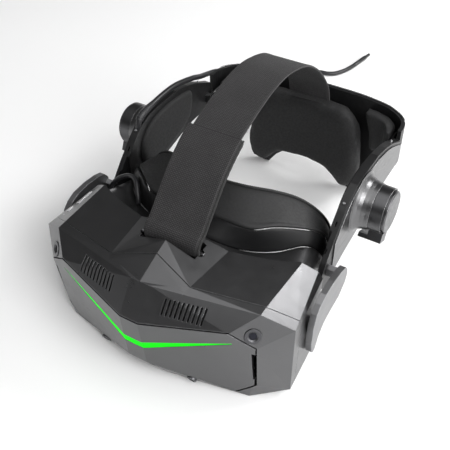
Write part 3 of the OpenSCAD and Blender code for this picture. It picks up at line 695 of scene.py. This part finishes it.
pad_view = [(148, 86), (149, 105), (155, 115), (164, 122), (176, 127), (201, 130), (226, 128.5),
            (243, 125.5), (249, 121.5), (249.5, 112), (246.5, 98), (240, 91), (225, 83.5),
            (203, 77), (180, 71), (158, 70)]
for s, sg in (("right", 1), ("left", -1)):
    pad = crowned("arm_pad_soft_" + s, pad_view,
                  lambda p, h, sg=sg: P(sg * (118.4 - h), p[0], p[1]), 4.6, "pad_fabric")
    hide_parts("arm_pad_" + s)
    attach(pad, "headband")

# ---------------------------------------------------------------- straps
STRAP_WIDE = 53
TAIL_WIDE = 59
WEB_THICK = 2.2
CREST = 208  # y of the top strap's highest point, where its front and rear halves meet
strap_path = [(36.9, 107.4), (37.2, 112), (38.8, 116.6), (42.4, 121.2), (58.6, 139.4), (78, 159),
              (96, 172.9), (112, 182.2), (127, 188), (150, 195.6), (178, 202.6), (208, 204.4),
              (240, 198), (263, 188.5), (290, 169), (310, 148), (322, 131), (328.5, 112)]
tail_path = [(36.5, 104.9), (34.8, 102.9), (32.2, 102.4), (29.9, 103.8), (28.9, 106.8), (28.6, 111),
             (29.6, 115.6), (33, 120), (40, 124.6), (57, 143), (76, 162.6), (94, 176.3),
             (111, 185.8)]


SELVEDGE = 1.2  # thicker bound edge, as a share of the webbing thickness


def ribbon(name, line, width, thick, mat, v0=0.0):
    """Webbing along a line of (y, z) points: rounded selvedges, UVs in metres."""
    n = len(line)
    cols = [-1, -0.985, -0.955] + [-0.9 + 1.8 * i / 18 for i in range(19)] + [0.955, 0.985, 1]
    verts, uvs, dist = [], [], v0
    per = 2 * len(cols)
    for i, p in enumerate(line):
        a, b = line[max(i - 1, 0)], line[min(i + 1, n - 1)]
        t = (b - a).normalized()
        nrm = Vector((-t[1], t[0]))
        if i:
            dist += (p - line[i - 1]).length / 1000
        for sgn in (1, -1):
            for c in (cols if sgn > 0 else reversed(cols)):
                x = c * width / 2
                e = abs(c)
                h = thick / 2 * (1 if e < 0.9 else (0.96 if e < 0.96 else (0.7 if e < 0.99 else 0.25)))
                if 0.89 < e < 0.96:
                    h = thick / 2 * SELVEDGE
                q = p + nrm * (sgn * h)
                verts.append(P(x, q[0], q[1]))
                uvs.append((x / 1000, dist))
    faces = [(i * per + s, i * per + (s + 1) % per, (i + 1) * per + (s + 1) % per, (i + 1) * per + s)
             for i in range(n - 1) for s in range(per)]
    faces += [tuple(range(per)), tuple((n - 1) * per + s for s in range(per))]
    return mesh_object(name, verts, faces, mat, sharp=60, uvs=uvs)


def flat_len(line):
    return run(line) / 1000


strap_line = [Vector((p[0], p[1])) for p in open_curve([(a, b, 0) for a, b in strap_path], 8)]
cut = next(i for i, p in enumerate(strap_line) if p[0] >= CREST)
front_line, back_line = strap_line[:cut + 1], strap_line[cut:]
front = ribbon("top_strap_front", front_line, STRAP_WIDE, WEB_THICK, "strap_weave")
back = ribbon("top_strap_rear", back_line, STRAP_WIDE, WEB_THICK, "strap_weave", v0=flat_len(front_line))
tail_line = [Vector((p[0], p[1])) for p in open_curve([(a, b, 0) for a, b in tail_path], 8)]
tail = ribbon("strap_tail_fold", tail_line, TAIL_WIDE, WEB_THICK, "strap_weave")
hem_line = [P(30.1, p[0] + 1.2, p[1] - 1.0) for p in tail_line[26:]]
hem = tube("strap_tail_hem", hem_line, 0.0019, "strap_edge", 10, rib=(0.002, 0.00025),
           taper=lambda t: 1 - 0.5 * max(0.0, t - 0.96) / 0.04)
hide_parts("top_strap")
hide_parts("top_strap")
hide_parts("strap_tail")
for webbing_piece in (front, tail, hem):
    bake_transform(webbing_piece)
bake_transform(back)

# ---------------------------------------------------------------- small hardware
for s, sg in (("right", 1), ("left", -1)):
    for i, (y, z, tilt) in enumerate(((147, 124, 38), (273, 120.5, -24))):
        a = math.radians(tilt)
        ax = Vector((0, -math.sin(a), math.cos(a)))
        base = P(sg * 122.6, y, z) - ax * 0.001
        scr = turned(f"arm_screw_{s}_{i}", base, ax,
                     [(0, 1.35), (2.2, 1.35), (2.5, 1.25), (2.6, 1.0), (2.6, 0.75), (2.0, 0.7), (2.0, 0.05)],
                     "rail_steel", 24)
        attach(scr, "headband")

# ---------------------------------------------------------------- floor, light
fm = Mat("floor", (0.95, 0.95, 0.95), 0.85)
fm.tint(fm.remap(fm.noise(3, 3), 0.3, 0.7, 0, 0.3), (0.935, 0.935, 0.935))
bm = bmesh.new()
bmesh.ops.create_grid(bm, x_segments=8, y_segments=8, size=6)
me = bpy.data.meshes.new("floor")
bm.to_mesh(me)
bm.free()
me.materials.append(fm.m)
floor = bpy.data.objects.new("floor", me)
bpy.context.scene.collection.objects.link(floor)
floor.location.z = -0.0006

world = bpy.data.worlds.new("world")
bpy.context.scene.world = world
world.use_nodes = True
wt = world.node_tree
sky = wt.nodes["Background"]
sky.inputs[0].default_value = (1, 1, 1, 1)
direction, split, fade = (wt.nodes.new("ShaderNode" + k) for k in ("TexCoord", "SeparateXYZ", "MapRange"))
wt.links.new(direction.outputs["Generated"], split.inputs[0])
wt.links.new(split.outputs[2], fade.inputs["Value"])
for key, value in zip(("From Min", "From Max", "To Min", "To Max"), (0.02, 0.24, 0.7, 0.09)):
    fade.inputs[key].default_value = value
wt.links.new(fade.outputs["Result"], sky.inputs[1])


def area(name, at, to, size, power, size_y=None):
    d = bpy.data.lights.new(name, "AREA")
    d.energy = power
    d.size = size
    if size_y:
        d.shape = "RECTANGLE"
        d.size_y = size_y
    o = bpy.data.objects.new(name, d)
    bpy.context.scene.collection.objects.link(o)
    o.location = at
    o.rotation_euler = (Vector(to) - Vector(at)).to_track_quat("-Z", "Y").to_euler()
    return o


area("overhead", (0.75, -0.75, 2.7), (0.75, -0.75, 0), 3.8, 62)
area("front_right", (2.4, -1.1, 1.9), (0.1, 0.1, 0), 1.9, 82)
area("rear_right", (0.95, 1.05, 1.2), (0.1, -0.1, 0.1), 0.75, 15, 0.6)
area("rear_left", (-1.7, 1.25, 0.12), (-0.05, 0, 0.1), 1.2, 1.2, 0.3)
area("right_side", (1.7, 0.3, 0.5), (0, 0.05, 0.1), 1.0, 9, 0.7)
bpy.context.scene.view_settings.view_transform = "Standard"
